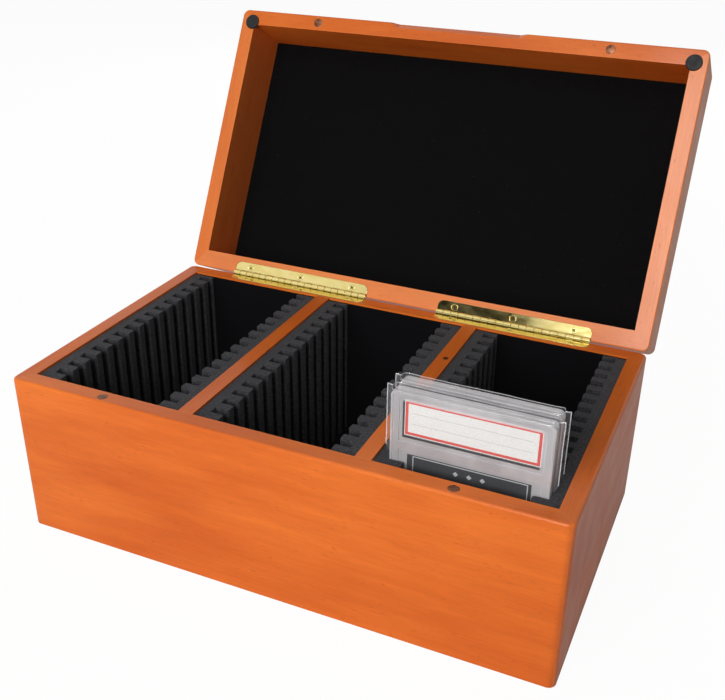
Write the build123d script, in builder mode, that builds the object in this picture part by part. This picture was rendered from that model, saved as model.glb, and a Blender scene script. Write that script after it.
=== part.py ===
from build123d import *
import os
from math import cos, radians, sin, sqrt

# A wooden display case for trading cards in clear holders, standing open.
# The holders set the inside: slotted foam rails take them by their edges, in three
# compartments side by side.  The boards and the lid are built around the rails.
# Origin: the middle of the underside.  +X runs along the case, -Y is its front, +Z is up.

# Card holders: two clear half shells, closed face to face around a card and a label
CARD_WIDTH = 63.5
CARD_HEIGHT = 88.9
LABEL_WIDTH = 69.5
LABEL_HEIGHT = 20.0
PAPER = 0.4
PAPER_PLAY = 0.3
PAPER_GAP = 0.1
UNDER_CARD = 10.8
CARD_TO_LABEL = 9.6
OVER_LABEL = 5.7
BESIDE_LABEL = 6.4
SLAB_THICKNESS = 6.35
SLAB_CORNER = 3.0
SLAB_EDGE = 0.5
SLAB_BORDER = 4.3
SLAB_WINDOW_STEP = 0.7

# Foam rails: a backing strip with teeth; the slots between the teeth hold the slabs
RAIL_BACKING = 6.3
TOOTH_LENGTH = 8.2
TOOTH_CHAMFER = 0.6
SLOT_WIDTH = 5.0
SLOT_PITCH = 10.7
SLOT_COUNT = 15
FRONT_MARGIN = 10.0
BACK_MARGIN = 5.2
SLAB_PLAY = 0.3

# Which slots of which compartment hold a slab, counted from the front left
FILLED = {2: (0, 1)}

# Boards of the body, and the felt that lines it
COMPARTMENTS = 3
WALL = 10.2
DIVIDER = 9.0
BODY_HEIGHT = 101.5
BOTTOM_PANEL = 3.2
BASE_FELT = 0.8
LINER = 0.8
LINING_DROP = 1.3
REBATE_LIP = 5.2
CORNER_ROUND = 4.5
RIM_ROUND = 1.8
FOOT_CHAMFER = 0.8

# Lid: mitred rails under a full board, open at rest
LID_GAP = 1.2
LID_WALL = 10.3
LID_BACK_WALL = 11.8
LID_TOP_PANEL = 3.8
LID_LINER = 0.7
LID_HEADROOM = 1.9
LID_RIM_ROUND = 0.9
LID_OPEN_ANGLE = 118.0

# Finger notch in the lid's front lower edge: a chamfer with sloped ends
NOTCH_DEPTH = 3.5
NOTCH_FLOOR_LENGTH = 85.0
NOTCH_SLOPE_LENGTH = 6.3

# Bumpers and magnets
BUMPER_RADIUS = 5.1
BUMPER_INSET = 8.6
BUMPER_CLEARANCE = 0.15
MAGNET_RADIUS = 3.0
MAGNET_DEPTH = 3.0
MAGNET_INSET = 60.2
MAGNET_PLAY = 0.05

# Hinges: two equal leaves each, let in flush, turning on a pin
HINGE_LENGTH = 101.6
HINGE_INSET = 35.4
KNUCKLES = 20
KNUCKLE_GAP = 0.3
BARREL_RADIUS = 1.9
BARREL_CLEARANCE = 0.3
PIN_RADIUS = 0.7
PIN_FIT = 0.05
LEAF_THICKNESS = 1.2
LEAF_MARGIN = 2.0
LEAF_CORNER = 4.0
MORTISE_PLAY = 0.1
SCREW_SPREAD = 39.3
SCREW_ROW = 4.8
SCREW_HEAD_RADIUS = 2.1
SCREW_SHANK_RADIUS = 1.1
SCREW_LENGTH = 8.0
SCREW_PLAY = 0.05

# Sides of the small round forms, of which there are many
BARREL_SIDES = 12
BORE_SIDES = 6
SCREW_SIDES = 12

# Sizes that follow
SLAB_WIDTH = LABEL_WIDTH + 2 * BESIDE_LABEL
LABEL_RISE = UNDER_CARD + CARD_HEIGHT + CARD_TO_LABEL
SLAB_HEIGHT = LABEL_RISE + LABEL_HEIGHT + OVER_LABEL
SLOT_REACH = SLAB_WIDTH + 2 * SLAB_PLAY
COMPARTMENT_WIDTH = SLOT_REACH + 2 * RAIL_BACKING
LINED_DEPTH = FRONT_MARGIN + (SLOT_COUNT - 1) * SLOT_PITCH + BACK_MARGIN
INNER_LENGTH = COMPARTMENTS * COMPARTMENT_WIDTH + (COMPARTMENTS - 1) * DIVIDER
INNER_DEPTH = LINED_DEPTH + 2 * LINER
CASE_LENGTH = INNER_LENGTH + 2 * WALL
CASE_DEPTH = INNER_DEPTH + 2 * WALL
FLOOR_TOP = BASE_FELT + BOTTOM_PANEL
LINED_FLOOR = FLOOR_TOP + LINER
LINING_TOP = BODY_HEIGHT - LINING_DROP
REBATE_LENGTH = CASE_LENGTH - 2 * REBATE_LIP
REBATE_DEPTH = CASE_DEPTH - 2 * REBATE_LIP

SLAB_HALF = SLAB_THICKNESS / 2
SLAB_SEAT = LINED_FLOOR
SLAB_TOP = SLAB_SEAT + SLAB_HEIGHT
WINDOW_WIDTH = SLAB_WIDTH - 2 * SLAB_BORDER
RIDGE_RISE = LABEL_RISE - CARD_TO_LABEL / 2
WELL_DEPTH = PAPER + PAPER_GAP

RIM_DROP = LID_GAP / 2
HINGE_Y = CASE_DEPTH / 2
HINGE_Z = BODY_HEIGHT + RIM_DROP
HINGE_X = CASE_LENGTH / 2 - HINGE_INSET - HINGE_LENGTH / 2
KNUCKLE_PITCH = HINGE_LENGTH / KNUCKLES
COVE_RADIUS = BARREL_RADIUS + BARREL_CLEARANCE
LEAF_WIDTH = min(WALL, LID_BACK_WALL) - LEAF_MARGIN
LEAF_BED = RIM_DROP + LEAF_THICKNESS
COUNTERSINK = SCREW_HEAD_RADIUS - SCREW_SHANK_RADIUS

LID_INSIDE = SLAB_TOP + LID_HEADROOM - BODY_HEIGHT - LID_GAP
LID_RAIL_HEIGHT = LID_INSIDE + LID_LINER
LID_INNER_LENGTH = CASE_LENGTH - 2 * LID_WALL
LID_INNER_DEPTH = CASE_DEPTH - LID_WALL - LID_BACK_WALL
LID_INNER_MIDDLE = -LID_BACK_WALL - LID_INNER_DEPTH / 2
MAGNET_X = CASE_LENGTH / 2 - MAGNET_INSET
MAGNET_ROW = WALL / 2

# The lid's own plane: its origin on the hinge axis, +Z the lid's up and -Y its front
LID_PLANE = Plane(
    origin=(0, HINGE_Y, HINGE_Z),
    x_dir=(1, 0, 0),
    z_dir=(0, sin(radians(LID_OPEN_ANGLE)), cos(radians(LID_OPEN_ANGLE))),
)
LID_UP = Axis(LID_PLANE.origin, LID_PLANE.z_dir)
LID_RIM = LID_PLANE.offset(RIM_DROP)

os.makedirs("parts", exist_ok=True)


def save(piece, name):
    """Labels a finished piece and writes it under its name."""
    piece.part.label = name
    export_step(piece.part, f"parts/{name}.step")


def corners(length, depth, middle):
    """The corners of a rectangle, from the front left one round to the back left one."""
    front = middle - depth / 2
    back = middle + depth / 2
    return [(-length / 2, front), (length / 2, front), (length / 2, back), (-length / 2, back)]


def mitre_wedge(outer, inner, side):
    """The outline between two mitre lines, carried past both faces of the boards."""
    points = []
    for k, spot, other in ((side, outer, inner), (side + 1, outer, inner),
                           (side + 1, inner, outer), (side, inner, outer)):
        x, y = spot[k % 4]
        x_from, y_from = other[k % 4]
        points.append((x + (x - x_from) / 2, y + (y - y_from) / 2))
    return points


def mitred_board(name, ring, plane, height, outer, inner, side):
    """One board of a rounded, mitred ring: what lies between two of its mitre joints."""
    with BuildPart() as board:
        add(ring.part)
        with BuildSketch(plane):
            with BuildLine():
                Polyline(*mitre_wedge(outer, inner, side), close=True)
            make_face()
        extrude(amount=height, mode=Mode.INTERSECT)
    save(board, name)


# ---------------------------------------------------------------- hinges


def hinge_planes(x):
    """The leaf planes of the hinge at x: through its axis, +Z from the wood to the axis."""
    origin = (x, HINGE_Y, HINGE_Z)
    on_body = Plane(origin=origin, x_dir=(1, 0, 0), z_dir=(0, 0, 1))
    on_lid = Plane(origin=origin, x_dir=(-1, 0, 0), z_dir=-LID_PLANE.z_dir)
    return on_body, on_lid


def screw_planes(plane):
    """Where a leaf's screws sit: on its face, their heads upwards."""
    places = []
    for x in (-SCREW_SPREAD, 0, SCREW_SPREAD):
        spot = plane.from_local_coords(Vector(x, -SCREW_ROW, -RIM_DROP))
        places.append(Plane(origin=spot, x_dir=plane.x_dir, z_dir=plane.z_dir))
    return places


def screw_outline(radius):
    """A screw seen from above, for the sketch being drawn."""
    return RegularPolygon(radius, SCREW_SIDES, major_radius=False)


def screw_heads(plane, play):
    """The countersunk heads of a leaf's screws, as deep as the leaf is thick."""
    with BuildPart() as heads:
        with BuildSketch(*screw_planes(plane)):
            screw_outline(SCREW_HEAD_RADIUS + play)
        extrude(amount=-LEAF_THICKNESS)
        undersides = heads.edges().group_by(Axis(plane.origin, plane.z_dir))[0]
        chamfer(undersides, COUNTERSINK)
    return heads.part


def cove_outline():
    """The room the barrel turns in, as seen along the pin."""
    return RegularPolygon(COVE_RADIUS, BARREL_SIDES, major_radius=False)


def leaf_face(plane, play):
    """A leaf seen flat, the hinge axis along its straight edge, two corners rounded."""
    with BuildSketch(plane) as outline:
        with Locations((0, -(LEAF_WIDTH + play) / 2)):
            Rectangle(HINGE_LENGTH + 2 * play, LEAF_WIDTH + play)
        fillet(outline.vertices().group_by(Axis.Y)[0], LEAF_CORNER)
    return outline.sketch


def hinge_seat(plane):
    """The room that a leaf, the barrel and the screws take out of a rim."""
    with BuildPart() as seat:
        extrude(leaf_face(plane.offset(-LEAF_BED), MORTISE_PLAY), amount=LEAF_BED)
        with BuildSketch(Plane(origin=plane.origin, z_dir=plane.x_dir)):
            cove_outline()
        extrude(amount=HINGE_LENGTH / 2 + BARREL_CLEARANCE, both=True)
        with BuildSketch(*screw_planes(plane)):
            screw_outline(SCREW_SHANK_RADIUS + SCREW_PLAY)
        extrude(amount=-SCREW_LENGTH - SCREW_PLAY)
    return seat.part


def hinge_leaf(name, plane):
    """A leaf with every second knuckle, cut back where the other leaf's knuckles turn."""
    starts = [k * KNUCKLE_PITCH - HINGE_LENGTH / 2 for k in range(KNUCKLES)]
    barrel = Plane(origin=plane.origin, z_dir=plane.x_dir)
    holes = screw_heads(plane, SCREW_PLAY)
    with BuildPart() as leaf:
        extrude(leaf_face(plane.offset(-LEAF_BED), 0), amount=LEAF_THICKNESS)
        with BuildSketch(*[barrel.offset(start - KNUCKLE_GAP / 2) for start in starts[0::2]]):
            cove_outline()
        extrude(amount=KNUCKLE_PITCH + KNUCKLE_GAP, mode=Mode.SUBTRACT)
        with BuildSketch(*[barrel.offset(start + KNUCKLE_GAP / 2) for start in starts[1::2]]):
            RegularPolygon(BARREL_RADIUS, BARREL_SIDES)
        extrude(amount=KNUCKLE_PITCH - KNUCKLE_GAP)
        with BuildSketch(barrel):
            RegularPolygon(PIN_RADIUS + PIN_FIT, BORE_SIDES, major_radius=False)
        extrude(amount=HINGE_LENGTH / 2, both=True, mode=Mode.SUBTRACT)
        add(holes, mode=Mode.SUBTRACT)
    save(leaf, name)


def hinge_screws(name, plane):
    """A leaf's countersunk screws, flush in it."""
    heads = screw_heads(plane, 0)
    with BuildPart() as screws:
        with BuildSketch(*[spot.offset(-LEAF_THICKNESS) for spot in screw_planes(plane)]):
            screw_outline(SCREW_SHANK_RADIUS)
        extrude(amount=LEAF_THICKNESS - SCREW_LENGTH)
        add(heads)
    save(screws, name)


def hinge_pin(name, plane):
    """The pin, as long as the barrel, held in the body leaf's knuckles."""
    with BuildPart() as pin:
        with BuildSketch(Plane(origin=plane.origin, z_dir=plane.x_dir)):
            RegularPolygon(PIN_RADIUS, SCREW_SIDES)
        extrude(amount=HINGE_LENGTH / 2, both=True)
    save(pin, name)


HINGES = {"left": hinge_planes(-HINGE_X), "right": hinge_planes(HINGE_X)}
body_seats = [hinge_seat(on_body) for on_body, on_lid in HINGES.values()]
lid_seats = [hinge_seat(on_lid) for on_body, on_lid in HINGES.values()]

for hand, (on_body, on_lid) in HINGES.items():
    hinge_leaf(f"hinge_{hand}_body_leaf", on_body)
    hinge_leaf(f"hinge_{hand}_lid_leaf", on_lid)
    hinge_screws(f"hinge_{hand}_body_screws", on_body)
    hinge_screws(f"hinge_{hand}_lid_screws", on_lid)
    hinge_pin(f"hinge_{hand}_pin", on_body)


# ---------------------------------------------------------------- magnets and bumpers


def magnet_sketch(plane, row, radius):
    """The two magnets' circles, on a rim's plane."""
    with BuildSketch(plane) as circles:
        with Locations((-MAGNET_X, row), (MAGNET_X, row)):
            Circle(radius)
    return circles.sketch


BODY_RIM = Plane.XY.offset(BODY_HEIGHT)
BODY_MAGNET_ROW = MAGNET_ROW - CASE_DEPTH / 2
LID_MAGNET_ROW = MAGNET_ROW - CASE_DEPTH

with BuildPart() as body_magnets:
    extrude(magnet_sketch(BODY_RIM, BODY_MAGNET_ROW, MAGNET_RADIUS), amount=-MAGNET_DEPTH)
save(body_magnets, "body_magnets")

with BuildPart() as lid_magnets:
    extrude(magnet_sketch(LID_RIM, LID_MAGNET_ROW, MAGNET_RADIUS), amount=MAGNET_DEPTH)
save(lid_magnets, "lid_magnets")

with BuildPart() as lid_bumpers:
    with BuildSketch(LID_RIM):
        bumper_x = CASE_LENGTH / 2 - BUMPER_INSET
        with Locations((-bumper_x, BUMPER_INSET - CASE_DEPTH), (bumper_x, BUMPER_INSET - CASE_DEPTH)):
            Circle(BUMPER_RADIUS)
    extrude(amount=BUMPER_CLEARANCE - LID_GAP)
save(lid_bumpers, "lid_bumpers")


# ---------------------------------------------------------------- body

BODY_OUTER = corners(CASE_LENGTH, CASE_DEPTH, 0)
BODY_INNER = corners(INNER_LENGTH, INNER_DEPTH, 0)
SIDES = ("front", "right", "back", "left")

with BuildPart() as body_ring:
    with BuildSketch(Plane.XY):
        RectangleRounded(CASE_LENGTH, CASE_DEPTH, CORNER_ROUND)
        Rectangle(INNER_LENGTH, INNER_DEPTH, mode=Mode.SUBTRACT)
    extrude(amount=BODY_HEIGHT)
    fillet(body_ring.faces().sort_by(Axis.Z)[-1].outer_wire().edges(), RIM_ROUND)
    chamfer(body_ring.faces().sort_by(Axis.Z)[0].outer_wire().edges(), FOOT_CHAMFER)
    # The rebate that takes the bottom panel and the felt under it
    with BuildSketch(Plane.XY):
        Rectangle(REBATE_LENGTH, REBATE_DEPTH)
    extrude(amount=FLOOR_TOP, mode=Mode.SUBTRACT)
    add(body_seats, mode=Mode.SUBTRACT)
    magnet_holes = magnet_sketch(BODY_RIM, BODY_MAGNET_ROW, MAGNET_RADIUS + MAGNET_PLAY)
    extrude(magnet_holes, amount=-MAGNET_DEPTH, mode=Mode.SUBTRACT)

for side, place in enumerate(SIDES):
    mitred_board(f"body_{place}_panel", body_ring, Plane.XY, BODY_HEIGHT, BODY_OUTER, BODY_INNER, side)

with BuildPart() as body_bottom_panel:
    with BuildSketch(Plane.XY.offset(BASE_FELT)):
        Rectangle(REBATE_LENGTH, REBATE_DEPTH)
    extrude(amount=BOTTOM_PANEL)
save(body_bottom_panel, "body_bottom_panel")

with BuildPart() as base_felt:
    with BuildSketch(Plane.XY):
        Rectangle(REBATE_LENGTH, REBATE_DEPTH)
    extrude(amount=BASE_FELT)
save(base_felt, "base_felt")

for k in range(1, COMPARTMENTS):
    with BuildPart() as divider:
        with BuildSketch(Plane.XY.offset(FLOOR_TOP)):
            with Locations((k * (COMPARTMENT_WIDTH + DIVIDER) - (INNER_LENGTH + DIVIDER) / 2, 0)):
                Rectangle(DIVIDER, INNER_DEPTH)
        extrude(amount=BODY_HEIGHT - FLOOR_TOP)
    save(divider, f"divider_{k}")


# ---------------------------------------------------------------- lining, rails and slabs


# Width, height and rise over the holder's foot
CARD = (CARD_WIDTH, CARD_HEIGHT, UNDER_CARD)
LABEL = (LABEL_WIDTH, LABEL_HEIGHT, LABEL_RISE)


def compartment_left(index):
    """The left face of a compartment."""
    return index * (COMPARTMENT_WIDTH + DIVIDER) - INNER_LENGTH / 2


def slot_y(slot):
    """The middle of a slot, counted from the front."""
    return FRONT_MARGIN + slot * SLOT_PITCH - LINED_DEPTH / 2


def compartment_liner(name, left):
    """One folded felt: up the front wall, along the floor and up the back wall."""
    with BuildPart() as liner:
        with BuildSketch(Plane(origin=(left, 0, 0), z_dir=(1, 0, 0), x_dir=(0, 1, 0))):
            with Locations((0, (LINING_TOP + FLOOR_TOP) / 2)):
                Rectangle(INNER_DEPTH, LINING_TOP - FLOOR_TOP)
            with Locations((0, (LINING_TOP + LINED_FLOOR) / 2)):
                Rectangle(LINED_DEPTH, LINING_TOP - LINED_FLOOR, mode=Mode.SUBTRACT)
        extrude(amount=COMPARTMENT_WIDTH)
    save(liner, name)


def foam_rail(name, wall_x, inwards, filled):
    """A toothed rail on the wall at wall_x; slots that hold a slab are pressed open."""
    tip_x = wall_x + inwards * (RAIL_BACKING + TOOTH_LENGTH)
    with BuildPart() as rail:
        with BuildSketch(Plane.XY.offset(LINED_FLOOR)):
            with Locations(((wall_x + tip_x) / 2, 0)):
                Rectangle(RAIL_BACKING + TOOTH_LENGTH, LINED_DEPTH)
            for slot in range(SLOT_COUNT):
                width = SLAB_THICKNESS + 2 * SLAB_PLAY if slot in filled else SLOT_WIDTH
                with Locations((tip_x - inwards * TOOTH_LENGTH / 2, slot_y(slot))):
                    Rectangle(TOOTH_LENGTH, width, mode=Mode.SUBTRACT)
        extrude(amount=LINING_TOP - LINED_FLOOR)
        tips = rail.edges().filter_by(Axis.Z).group_by(Axis.X)[-1 if inwards > 0 else 0]
        chamfer(tips, TOOTH_CHAMFER)
    save(rail, name)


def slab_half(name, plane, wells):
    """A clear half shell: sunk windows outside and, in the back half, the wells inside."""
    with BuildPart() as half:
        with BuildSketch(plane):
            with Locations((0, SLAB_HEIGHT / 2)):
                RectangleRounded(SLAB_WIDTH, SLAB_HEIGHT, SLAB_CORNER)
        extrude(amount=SLAB_HALF)
        outwards = Axis(plane.origin, plane.z_dir)
        chamfer(half.faces().sort_by(outwards)[-1].edges(), SLAB_EDGE)
        low_window = (SLAB_BORDER, RIDGE_RISE - SLAB_BORDER / 2)
        high_window = (RIDGE_RISE + SLAB_BORDER / 2, SLAB_HEIGHT - SLAB_BORDER)
        with BuildSketch(plane.offset(SLAB_HALF)):
            for low, high in (low_window, high_window):
                with Locations((0, (low + high) / 2)):
                    Rectangle(WINDOW_WIDTH, high - low)
        extrude(amount=-SLAB_WINDOW_STEP, mode=Mode.SUBTRACT)
        if wells:
            with BuildSketch(plane):
                for width, height, rise in (CARD, LABEL):
                    with Locations((0, rise + height / 2)):
                        Rectangle(width + 2 * PAPER_PLAY, height + 2 * PAPER_PLAY)
            extrude(amount=WELL_DEPTH, mode=Mode.SUBTRACT)
    save(half, name)


def slab_paper(name, plane, width, height, rise):
    """A card or a label on the floor of its well."""
    with BuildPart() as paper:
        with BuildSketch(plane.offset(WELL_DEPTH)):
            with Locations((0, rise + height / 2)):
                Rectangle(width, height)
        extrude(amount=-PAPER)
    save(paper, name)


def slab(name, x, y):
    """A closed holder with its card and label, standing on the lined floor."""
    seat = (x, y, SLAB_SEAT)
    front = Plane(origin=seat, x_dir=(1, 0, 0), z_dir=(0, -1, 0))
    back = Plane(origin=seat, x_dir=(-1, 0, 0), z_dir=(0, 1, 0))
    slab_half(f"{name}_front_shell", front, wells=False)
    slab_half(f"{name}_back_shell", back, wells=True)
    slab_paper(f"{name}_card", back, *CARD)
    slab_paper(f"{name}_label", back, *LABEL)


slabs_made = 0
for index in range(COMPARTMENTS):
    left = compartment_left(index)
    right = left + COMPARTMENT_WIDTH
    filled = FILLED.get(index, ())
    compartment_liner(f"liner_{index + 1}", left)
    foam_rail(f"foam_rail_{index + 1}_left", left, 1, filled)
    foam_rail(f"foam_rail_{index + 1}_right", right, -1, filled)
    for slot in filled:
        slabs_made += 1
        slab(f"slab_{slabs_made}", (left + right) / 2, slot_y(slot))


# ---------------------------------------------------------------- lid

LID_OUTER = corners(CASE_LENGTH, CASE_DEPTH, -CASE_DEPTH / 2)
LID_INNER = corners(LID_INNER_LENGTH, LID_INNER_DEPTH, LID_INNER_MIDDLE)

# The notch is cut from a plane at 45 degrees behind the lid's front lower edge
NOTCH_REACH = NOTCH_DEPTH / sqrt(2)
NOTCH_PLANE = Plane(
    origin=LID_RIM.from_local_coords(Vector(0, NOTCH_DEPTH / 2 - CASE_DEPTH, NOTCH_DEPTH / 2)),
    x_dir=LID_RIM.x_dir,
    z_dir=-LID_RIM.y_dir - LID_RIM.z_dir,
)

with BuildPart() as lid_ring:
    with BuildSketch(LID_RIM):
        with Locations((0, -CASE_DEPTH / 2)):
            RectangleRounded(CASE_LENGTH, CASE_DEPTH, CORNER_ROUND)
        with Locations((0, LID_INNER_MIDDLE)):
            Rectangle(LID_INNER_LENGTH, LID_INNER_DEPTH, mode=Mode.SUBTRACT)
    extrude(amount=LID_RAIL_HEIGHT)
    fillet(lid_ring.faces().sort_by(LID_UP)[0].outer_wire().edges(), LID_RIM_ROUND)
    with BuildSketch(NOTCH_PLANE):
        Rectangle(NOTCH_FLOOR_LENGTH, 2 * NOTCH_REACH)
    with BuildSketch(NOTCH_PLANE.offset(2 * NOTCH_REACH)):
        Rectangle(NOTCH_FLOOR_LENGTH + 4 * NOTCH_SLOPE_LENGTH, 2 * NOTCH_REACH)
    loft(ruled=True, mode=Mode.SUBTRACT)
    add(lid_seats, mode=Mode.SUBTRACT)
    magnet_holes = magnet_sketch(LID_RIM, LID_MAGNET_ROW, MAGNET_RADIUS + MAGNET_PLAY)
    extrude(magnet_holes, amount=MAGNET_DEPTH, mode=Mode.SUBTRACT)

for side, place in enumerate(SIDES):
    mitred_board(f"lid_{place}_rail", lid_ring, LID_RIM, LID_RAIL_HEIGHT, LID_OUTER, LID_INNER, side)

with BuildPart() as lid_top_panel:
    with BuildSketch(LID_RIM.offset(LID_RAIL_HEIGHT)):
        with Locations((0, -CASE_DEPTH / 2)):
            RectangleRounded(CASE_LENGTH, CASE_DEPTH, CORNER_ROUND)
    extrude(amount=LID_TOP_PANEL)
    fillet(lid_top_panel.faces().sort_by(LID_UP)[-1].edges(), RIM_ROUND)
save(lid_top_panel, "lid_top_panel")

with BuildPart() as lid_liner:
    with BuildSketch(LID_RIM.offset(LID_INSIDE)):
        with Locations((0, LID_INNER_MIDDLE)):
            Rectangle(LID_INNER_LENGTH, LID_INNER_DEPTH)
    extrude(amount=LID_LINER)
save(lid_liner, "lid_liner")
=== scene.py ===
import bmesh
import bpy
from math import atan2, cos, pi, radians, sin, sqrt
from mathutils import Matrix, Vector, noise


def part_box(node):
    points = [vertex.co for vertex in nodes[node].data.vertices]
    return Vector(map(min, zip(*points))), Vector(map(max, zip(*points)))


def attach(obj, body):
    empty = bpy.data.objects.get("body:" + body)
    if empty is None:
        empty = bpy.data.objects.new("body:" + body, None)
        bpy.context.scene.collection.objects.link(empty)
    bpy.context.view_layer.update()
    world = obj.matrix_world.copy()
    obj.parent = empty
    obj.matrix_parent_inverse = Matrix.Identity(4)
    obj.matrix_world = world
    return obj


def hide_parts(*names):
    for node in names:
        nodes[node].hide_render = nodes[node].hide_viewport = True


# Looks for the wooden card case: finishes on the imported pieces, and detailed hardware,
# clear holders and film sleeves built in the same frame.  Lengths are in millimetres
# and turned into metres where a mesh is made; lamps and camera are in metres.

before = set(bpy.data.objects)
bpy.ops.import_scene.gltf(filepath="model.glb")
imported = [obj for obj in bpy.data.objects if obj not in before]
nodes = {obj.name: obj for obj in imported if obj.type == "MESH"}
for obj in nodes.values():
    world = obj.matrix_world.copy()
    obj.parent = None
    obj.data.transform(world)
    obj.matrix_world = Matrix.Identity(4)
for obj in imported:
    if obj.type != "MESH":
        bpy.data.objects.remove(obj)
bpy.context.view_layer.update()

MM = 0.001


def holder_place(slab):
    """The x of a holder's middle and the y where its halves meet, in millimetres."""
    low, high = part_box(f"{slab}_front_shell")
    return (low.x + high.x) / 2 / MM, high.y / MM


SLABS = {slab: holder_place(slab) for slab in ("slab_1", "slab_2")}

# Sizes shared with the CAD source
HINGE_Y = 93.5
HINGE_Z = 102.1
HINGE_X = 76.25
LID_ANGLE = 118.0
RIM_DROP = 0.6
HINGE_LENGTH = 101.6
KNUCKLES = 20
KNUCKLE_GAP = 0.3
BARREL_RADIUS = 1.9
COVE_RADIUS = 2.2
PIN_RADIUS = 0.7
LEAF_THICKNESS = 1.2
LEAF_WIDTH = 8.2
LEAF_CORNER = 4.0
SCREW_SPREAD = 39.3
SCREW_ROW = 4.8
SCREW_HEAD_RADIUS = 2.1
SCREW_SHANK_RADIUS = 1.1
SCREW_LENGTH = 8.0
SCREW_PLAY = 0.08
SLAB_WIDTH = 82.3
SLAB_HEIGHT = 135.0
SLAB_HALF = 3.175
SLAB_CORNER = 3.0
SLAB_SEAT = 4.8
SLAB_BORDER = 4.3
RIDGE_RISE = 104.5
CARD = (63.5, 88.9, 10.8)
LABEL = (69.5, 20.0, 109.3)
PAPER_PLAY = 0.3
WELL_DEPTH = 0.5


# ---------------------------------------------------------------- meshes


def rounded(width, height, corner, middle=(0.0, 0.0), steps=6):
    """The points of a rounded rectangle, anticlockwise."""
    points = []
    for turn, sx, sy in ((0, 1, 1), (1, -1, 1), (2, -1, -1), (3, 1, -1)):
        cx = middle[0] + sx * (width / 2 - corner)
        cy = middle[1] + sy * (height / 2 - corner)
        for k in range(steps + 1):
            angle = (turn + k / steps) * pi / 2
            points.append((cx + corner * cos(angle), cy + corner * sin(angle)))
    return points


def circle(radius, middle=(0.0, 0.0), steps=32):
    """The points of a circle, anticlockwise."""
    return [
        (middle[0] + radius * cos(2 * pi * k / steps), middle[1] + radius * sin(2 * pi * k / steps))
        for k in range(steps)
    ]


def loop(bm, points, z):
    """Vertices at one height."""
    return [bm.verts.new((x, y, z)) for x, y in points]


def wall(bm, low, high):
    """Quads between two loops of equal count."""
    for k in range(len(low)):
        j = (k + 1) % len(low)
        bm.faces.new((low[k], low[j], high[j], high[k]))


def sheet(bm, outer, holes=(), material=0):
    """A flat face inside one loop and outside the others."""
    if not holes:
        bm.faces.new(outer).material_index = material
        return
    edges = []
    for ring in (outer, *holes):
        for k, vertex in enumerate(ring):
            other = ring[(k + 1) % len(ring)]
            edges.append(bm.edges.get((vertex, other)) or bm.edges.new((vertex, other)))
    made = bmesh.ops.triangle_fill(bm, use_beauty=True, use_dissolve=False, edges=edges)
    for item in made["geom"]:
        if isinstance(item, bmesh.types.BMFace):
            item.material_index = material


def lathe(bm, profile, place=Matrix.Identity(4), steps=32):
    """A solid of revolution about z, from (radius, z) points; radius 0 closes an end."""
    rings = []
    for radius, z in profile:
        if radius <= 0:
            rings.append([bm.verts.new(place @ Vector((0, 0, z)))])
        else:
            rings.append([bm.verts.new(place @ Vector((x, y, z))) for x, y in circle(radius, steps=steps)])
    for low, high in zip(rings, rings[1:]):
        for k in range(steps):
            j = (k + 1) % steps
            if len(low) == 1:
                bm.faces.new((low[0], high[j], high[k]))
            elif len(high) == 1:
                bm.faces.new((low[k], low[j], high[0]))
            else:
                bm.faces.new((low[k], low[j], high[j], high[k]))


def piece(name, bm, materials, body, place=Matrix.Identity(4), smooth=35.0, bevel=0.0,
          stands_for=()):
    """Makes an object of a mesh drawn in millimetres, and lets it ride on a body."""
    bmesh.ops.recalc_face_normals(bm, faces=bm.faces)
    mesh = bpy.data.meshes.new(name)
    bm.to_mesh(mesh)
    bm.free()
    mesh.transform(Matrix.Scale(MM, 4) @ place)
    for face in mesh.polygons:
        face.use_smooth = True
    mesh.set_sharp_from_angle(angle=radians(smooth))
    for material in materials:
        mesh.materials.append(material)
    made = bpy.data.objects.new(name, mesh)
    bpy.context.scene.collection.objects.link(made)
    if bevel:
        soften(made, bevel)
    if body:
        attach(made, body)
    if stands_for:
        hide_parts(*stands_for)
    return made


def soften(thing, width, segments=2, angle=35.0, weld=False):
    """Rounds a piece's sharp edges a little, so that they catch light."""
    if weld:
        join = thing.modifiers.new("weld", "WELD")
        join.merge_threshold = 0.00001
    edge = thing.modifiers.new("bevel", "BEVEL")
    edge.width = width * MM
    edge.segments = segments
    edge.limit_method = "ANGLE"
    edge.angle_limit = radians(angle)
    edge.harden_normals = True


def lid_frame():
    """The lid's own frame: origin on the hinge axis, +z its up, -y its front."""
    return Matrix.Translation((0, HINGE_Y, HINGE_Z)) @ Matrix.Rotation(radians(-LID_ANGLE), 4, "X")


LID = lid_frame()


# ---------------------------------------------------------------- materials


class Nodes:
    """A node tree in the making."""

    def __init__(self, tree):
        self.tree = tree

    def node(self, kind, inputs=(), **settings):
        made = self.tree.nodes.new(kind)
        for key, value in settings.items():
            setattr(made, key, value)
        for key, value in dict(inputs).items():
            self.feed(made.inputs[key], value)
        return made

    def feed(self, socket, value):
        if isinstance(value, bpy.types.NodeSocket):
            self.tree.links.new(value, socket)
        else:
            socket.default_value = value

    def math(self, operation, a, b=0.0):
        made = self.node("ShaderNodeMath", operation=operation)
        self.feed(made.inputs[0], a)
        self.feed(made.inputs[1], b)
        return made.outputs[0]


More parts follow.
